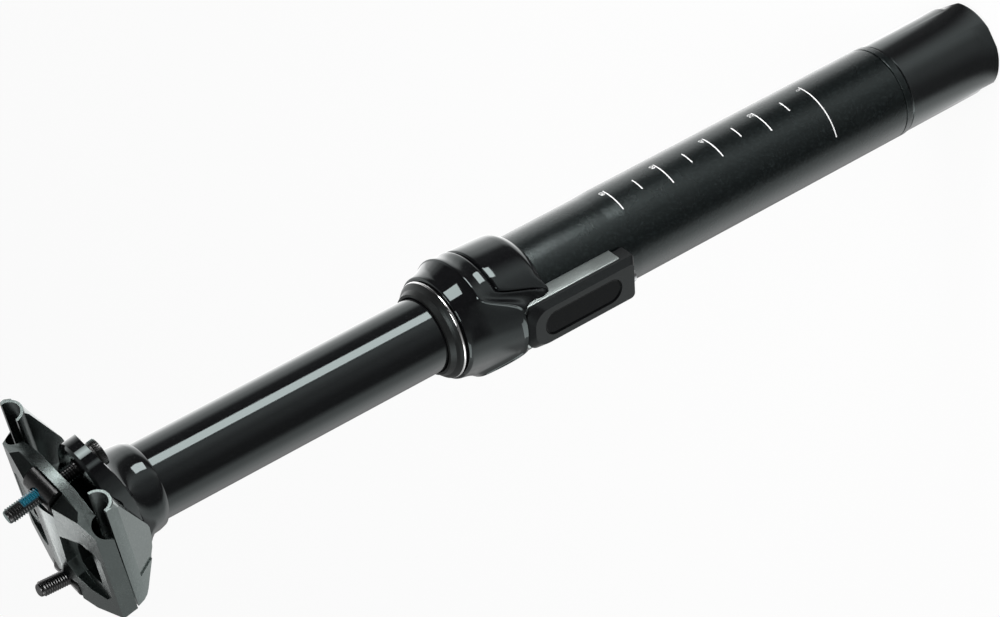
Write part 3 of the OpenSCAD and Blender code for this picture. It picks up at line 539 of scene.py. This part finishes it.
bmesh.ops.translate(shape, vec=(0, 0, (POD_TOP - HOUSING_LOW) * MM),
                    verts=[g for g in grown["geom"] if isinstance(g, bmesh.types.BMVert)])
bmesh.ops.recalc_face_normals(shape, faces=shape.faces)
rims = [e for e in shape.edges if min(v.co.x for v in e.verts) > HOUSING_SPLIT * MM - MERGE_GAP]
bmesh.ops.bevel(shape, geom=rims, offset=HOUSING_EDGE * MM, segments=ROUNDING_STEPS, profile=0.5,
                affect="EDGES", material=-1)
for wall, across in (((0, ROOM_HALF, 0), (0, 1, 0)), ((0, -ROOM_HALF, 0), (0, 1, 0)),
                     ((0, 0, ROOM_LOW), (0, 0, 1)), ((0, 0, ROOM_TOP), (0, 0, 1))):
    bmesh.ops.bisect_plane(shape, geom=shape.verts[:] + shape.edges[:] + shape.faces[:],
                           plane_co=Vector(wall) * MM, plane_no=across)
middles = {face: face.calc_center_median() / MM for face in shape.faces}
opened = [face for face, middle in middles.items()
          if abs(middle.y) < ROOM_HALF and ROOM_LOW < middle.z < ROOM_TOP]
bmesh.ops.delete(shape, geom=opened, context="FACES")
bmesh.ops.bridge_loops(shape, edges=[e for e in shape.edges if e.is_boundary])
bmesh.ops.recalc_face_normals(shape, faces=shape.faces)
bmesh.ops.rotate(shape, verts=shape.verts, cent=(0, 0, 0),
                 matrix=Matrix.Rotation(math.radians(POD_BEARING), 3, "Z"))
soft_edges(shape)
housing_satin = grained_finish("housing_satin", colour=(0.36, 0.4, 0.39), fleck=(0.44, 0.475, 0.465),
                               size=2000, gloss=(0.28, 0.34), relief=0.01, metallic=1.0)
housing = add_piece("pod_housing", shape, housing_satin, "outer_post")
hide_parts("seal_collar")


# Pod cover and its insert: moulded black plastic, screwed to the housing. The cover is square at its lower
# end and round at its upper end, and the smooth dished oval insert hides the screw.
INSERT_RIM = 0.25
INSERT_DISH = 0.3
FACING = 0.9
cover_black = grained_finish("cover_black", colour=(0.005, 0.005, 0.0055), fleck=(0.009, 0.009, 0.0095),
                             size=2000, gloss=(0.28, 0.34), relief=0.01, specular=0.25)
softened_copy("pod_cover", "pod_cover_shell", cover_black, "outer_post", rounding=0.35)
insert_black = grained_finish("insert_black", colour=(0.002, 0.002, 0.0025), fleck=(0.004, 0.004, 0.004),
                              size=1500, gloss=(0.18, 0.22), relief=0.006, specular=0.06)
shape = merged_copy("cover_insert")
outward = Vector((math.cos(math.radians(POD_BEARING)), math.sin(math.radians(POD_BEARING)), 0))
face = max((f for f in shape.faces if f.normal.dot(outward) > FACING), key=lambda f: f.calc_area())
bmesh.ops.inset_region(shape, faces=[face], thickness=INSERT_RIM * MM)
bmesh.ops.inset_region(shape, faces=[face], thickness=INSERT_RIM * MM, depth=-INSERT_DISH * MM)
soft_edges(shape)
insert_pad = add_piece("cover_insert_pad", shape, insert_black, "outer_post")
soften(insert_pad, rounding=0.12)
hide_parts("cover_insert")


# Release parts in the pod: a steel lever on a cross pin, with a brass anchor for the cable's end,
# a steel ferrule for its housing and the cover's screw.
dress(["cover_screw", "inlet_ferrule", "lever_pin", "release_lever"], steel)
dress(["cable_anchor"], brass)


# Wiper seal: a moulded rubber lip pressed into the collar's mouth.
# A bright spring-steel ring round the lip holds it against the stanchion.
dress(["wiper_seal"], rubber)
bright_ring = grained_finish("bright_ring", colour=(0.8, 0.8, 0.8), fleck=(0.72, 0.72, 0.72),
                             size=900, gloss=(0.12, 0.2), relief=0.003, metallic=1.0)
dress(["wiper_ring"], bright_ring)


# Bushings and keys: pale moulded bushings, one in the tube and one on the stanchion, guide the post.
# Brass keys in the stanchion's grooves keep it from turning.
bushing = grained_finish("bushing_plastic", colour=(0.8, 0.8, 0.77), fleck=(0.7, 0.7, 0.67),
                         size=1400, gloss=(0.4, 0.55), relief=0.01)
dress(["upper_bushing", "lower_bushing"], bushing)
dress(["guide_keys"], brass)


# Release slide: a spring-steel strip beside the stanchion lifts a yoke and a valve pin in the rod's bore,
# and a small coil spring brings them back. The coil gets a mesh of its own.
SPRING_SHARP = 40
dress(["release_rod", "valve_pin"], steel)
dress(["release_yoke"], alloy)
shape = merged_copy("release_spring")
soft_edges(shape, SPRING_SHARP)
coil = add_piece("return_spring", shape, steel, "outer_post")
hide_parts("release_spring")
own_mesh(coil)


# Stanchion: a polished aluminium tube, hard anodised gloss black, that slides in the collar.
# Inside it are the machined gas cartridge and its plugs.
stanchion_black = grained_finish("stanchion_black", colour=(0.004, 0.004, 0.0045),
                                 fleck=(0.006, 0.006, 0.0065), size=1200, gloss=(0.06, 0.09), relief=0.001)
dress(["stanchion"], stanchion_black)
dress(["stanchion_foot", "cartridge_body", "cartridge_gland", "cartridge_plug"], alloy)


# Saddle head: forged aluminium, bonded on the stanchion and lacquered wet-gloss black.
# A round seat across its top carries the cradle, and an ear at each end takes a bolt.
softened_copy("saddle_head", "saddle_head_shell", gloss_black, "inner_post",
              rounding=1.0, limit=32)


# Rail clamp: a forged cradle and an upper bridge, both bead-blasted and anodised dark grey.
# They close on the two saddle rails.
clamp_grey = grained_finish("clamp_grey", colour=(0.118, 0.138, 0.134), fleck=(0.15, 0.172, 0.168),
                            size=1600, gloss=(0.23, 0.28), relief=0.03, metallic=1.0)
softened_copy("lower_cradle", "lower_cradle_shell", clamp_grey, "rail_clamp", rounding=0.3)
softened_copy("upper_clamp", "upper_clamp_shell", clamp_grey, "rail_clamp", rounding=0.3)


# Clamp bolts: M5 steel bolts with rolled threads, blackened, with round knurled heads under the ears.
# A blue-green locking patch is baked on one side of the rear bolt's thread.
HEAD_R = 4.25
HEAD_H = 2.2
HEAD_EDGE = 0.25
HEAD_EDGE_STEPS = 2
HEAD_STEPS = 72
NEARLY = 0.1
KNURL_RIM = 0.06
KNURL_DEPTH = 0.18
SOCKET_AF = 4.0
SOCKET_DEPTH = 1.8
SHANK_R = 2.45
ROOT_R = 2.08
SHANK_END = 9.0
BOLT_REACH = 32.7
BOLT_SHARP = 35
# radius and height of each ring from the head up to the tip
SHANK_RINGS = [(SHANK_R, SHANK_END), (ROOT_R, SHANK_END + 0.4), (ROOT_R, BOLT_REACH - 0.5),
               (ROOT_R - 0.1, BOLT_REACH - 0.2), (ROOT_R - 0.35, BOLT_REACH)]
PITCH = 0.8
STEPS_A_TURN = 24
THREAD_START = SHANK_END + 0.1
THREAD_TURNS = 28
# radius and height of each corner of the thread's section
TOOTH = [(ROOT_R - 0.1, 0.02), (2.38, 0.3), (SHANK_R, 0.37), (2.38, 0.44), (ROOT_R - 0.1, 0.72)]
BOLT_LOOK = {"colour": (0.07, 0.07, 0.07), "fleck": (0.12, 0.12, 0.12), "size": 2000, "gloss": (0.24, 0.34),
             "relief": 0.01}
PATCH_DYE = (0.006, 0.1, 0.15, 1)
PATCH_PAST_NUT = (2.5, 8.6)
PATCH_END_FADES = (0.3, 0.4)
PATCH_SIDE = (-0.5, -0.87, 0)
PATCH_SIDE_FADE = (-1.0, -0.3)
pivots = {joint["name"]: Vector(joint["pos_m"]) for joint in frame["joints"] if "pos_m" in joint}


def bolt_lean(end):
    aim = pivots[end + "_nut_turn"] - pivots[end + "_bolt_swing"]
    return math.atan2(aim.x, aim.z)


def threaded_bolt(name, end, finish, body, node):
    shape = bmesh.new()
    head = bmesh.ops.create_cone(shape, cap_ends=True, segments=HEAD_STEPS, radius1=HEAD_R * MM,
                                 radius2=HEAD_R * MM, depth=HEAD_H * MM)
    bmesh.ops.translate(shape, verts=head["verts"], vec=(0, 0, HEAD_H / 2 * MM))
    shape.normal_update()
    rims = [e for e in shape.edges if abs(e.calc_face_angle(0) - math.pi / 2) < NEARLY]
    bmesh.ops.bevel(shape, geom=rims, offset=HEAD_EDGE * MM, segments=HEAD_EDGE_STEPS, profile=0.5,
                    affect="EDGES", material=-1)
    shape.normal_update()
    sides = sorted((f for f in shape.faces if abs(f.normal.z) < NEARLY and len(f.verts) == 4),
                   key=lambda f: math.atan2(f.calc_center_median().y, f.calc_center_median().x))
    bmesh.ops.inset_individual(shape, faces=sides[::2], thickness=KNURL_RIM * MM, depth=-KNURL_DEPTH * MM)
    under = min(shape.faces, key=lambda f: f.calc_center_median().z)
    bmesh.ops.inset_region(shape, faces=[under], thickness=(HEAD_R - HEAD_EDGE - SOCKET_AF / 2) * MM)
    sunk = bmesh.ops.extrude_face_region(shape, geom=[under])
    socket_floor = [g for g in sunk["geom"] if isinstance(g, bmesh.types.BMVert)]
    socket = set(socket_floor) | set(under.verts)
    bmesh.ops.delete(shape, geom=[under], context="FACES_ONLY")
    for vert in socket:
        angle = math.atan2(vert.co.y, vert.co.x)
        off_flat = (angle + math.pi / 6) % (math.pi / 3) - math.pi / 6
        reach = SOCKET_AF / 2 * MM / math.cos(off_flat)
        vert.co = (reach * math.cos(angle), reach * math.sin(angle), vert.co.z)
    bmesh.ops.translate(shape, verts=socket_floor, vec=(0, 0, SOCKET_DEPTH * MM))
    top = max(shape.faces, key=lambda f: f.calc_center_median().z)
    bmesh.ops.inset_region(shape, faces=[top], thickness=(HEAD_R - HEAD_EDGE - SHANK_R) * MM)
    edges = top.edges[:]
    bmesh.ops.delete(shape, geom=[top], context="FACES_ONLY")
    for radius, height in SHANK_RINGS:
        grown = bmesh.ops.extrude_edge_only(shape, edges=edges)["geom"]
        edges = [g for g in grown if isinstance(g, bmesh.types.BMEdge)]
        for vert in (g for g in grown if isinstance(g, bmesh.types.BMVert)):
            out = Vector((vert.co.x, vert.co.y, 0)).normalized()
            vert.co = out * radius * MM + Vector((0, 0, height * MM))
    bmesh.ops.contextual_create(shape, geom=edges)
    tooth = [shape.verts.new((radius * MM, 0, (THREAD_START + height) * MM)) for radius, height in TOOTH]
    thread = shape.faces.new(tooth)
    bmesh.ops.spin(shape, geom=[thread] + thread.edges[:] + tooth, cent=(0, 0, 0), axis=(0, 0, 1),
                   dvec=(0, 0, PITCH * MM / STEPS_A_TURN), angle=2 * math.pi * THREAD_TURNS,
                   steps=STEPS_A_TURN * THREAD_TURNS)
    bmesh.ops.recalc_face_normals(shape, faces=shape.faces)
    soft_edges(shape, BOLT_SHARP)
    seat = Matrix.Translation(pivots[end + "_bolt_swing"])
    bmesh.ops.transform(shape, verts=shape.verts, matrix=seat @ Matrix.Rotation(bolt_lean(end), 4, "Y"))
    piece = add_piece(name, shape, finish, body)
    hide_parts(node)


bolt_black = grained_finish("bolt_black", metallic=1.0, **BOLT_LOOK)
threaded_bolt("front_bolt_threaded", "front", bolt_black, "front_bolt_set", "front_bolt")
rear_seat = pivots["rear_bolt_swing"]
nut_reach = (pivots["rear_nut_turn"] - rear_seat).length
patch_start, patch_end = (nut_reach + past * MM for past in PATCH_PAST_NUT)
locking_patch = grained_finish("locking_patch", **BOLT_LOOK)
tree = locking_patch.node_tree
shader = tree.nodes["Principled BSDF"].inputs
bare_colour = shader["Base Color"].links[0].from_socket
spot = add_node(tree, "TexCoord").outputs["Object"]
rear_place = {"Vector": spot, "Location": rear_seat, "Rotation": (0, bolt_lean("rear"), 0)}
on_bolt = add_node(tree, "Mapping", rear_place, vector_type="TEXTURE").outputs[0]
along = add_node(tree, "SeparateXYZ", {0: on_bolt}).outputs["Z"]
side = add_node(tree, "VectorMath", {0: on_bolt, 1: PATCH_SIDE}, operation="DOT_PRODUCT").outputs["Value"]
above_start = ramp(tree, along, patch_start - PATCH_END_FADES[0] * MM, patch_start)
below_end = ramp(tree, along, patch_end + PATCH_END_FADES[1] * MM, patch_end)
near_side = ramp(tree, side, *(edge * MM for edge in PATCH_SIDE_FADE))
patch = calculate(tree, "MULTIPLY", calculate(tree, "MULTIPLY", above_start, below_end), near_side)
tree.links.new(mix_colours(tree, patch, bare_colour, PATCH_DYE), shader["Base Color"])
tree.links.new(calculate(tree, "SUBTRACT", 1, patch), shader["Metallic"])
threaded_bolt("rear_bolt_threaded", "rear", locking_patch, "rear_bolt_set", "rear_bolt")


# Barrel nuts and washers: turned steel in the bolts' blackened finish. On the nuts the black is partly
# painted shade, standing in for the shade of the grooves they sit in. The washers have half-round backs that
# roll in the ears, and the nuts turn in open grooves in the bridge.
dress(["rear_washer", "front_washer", "front_nut", "rear_nut"], bolt_black)
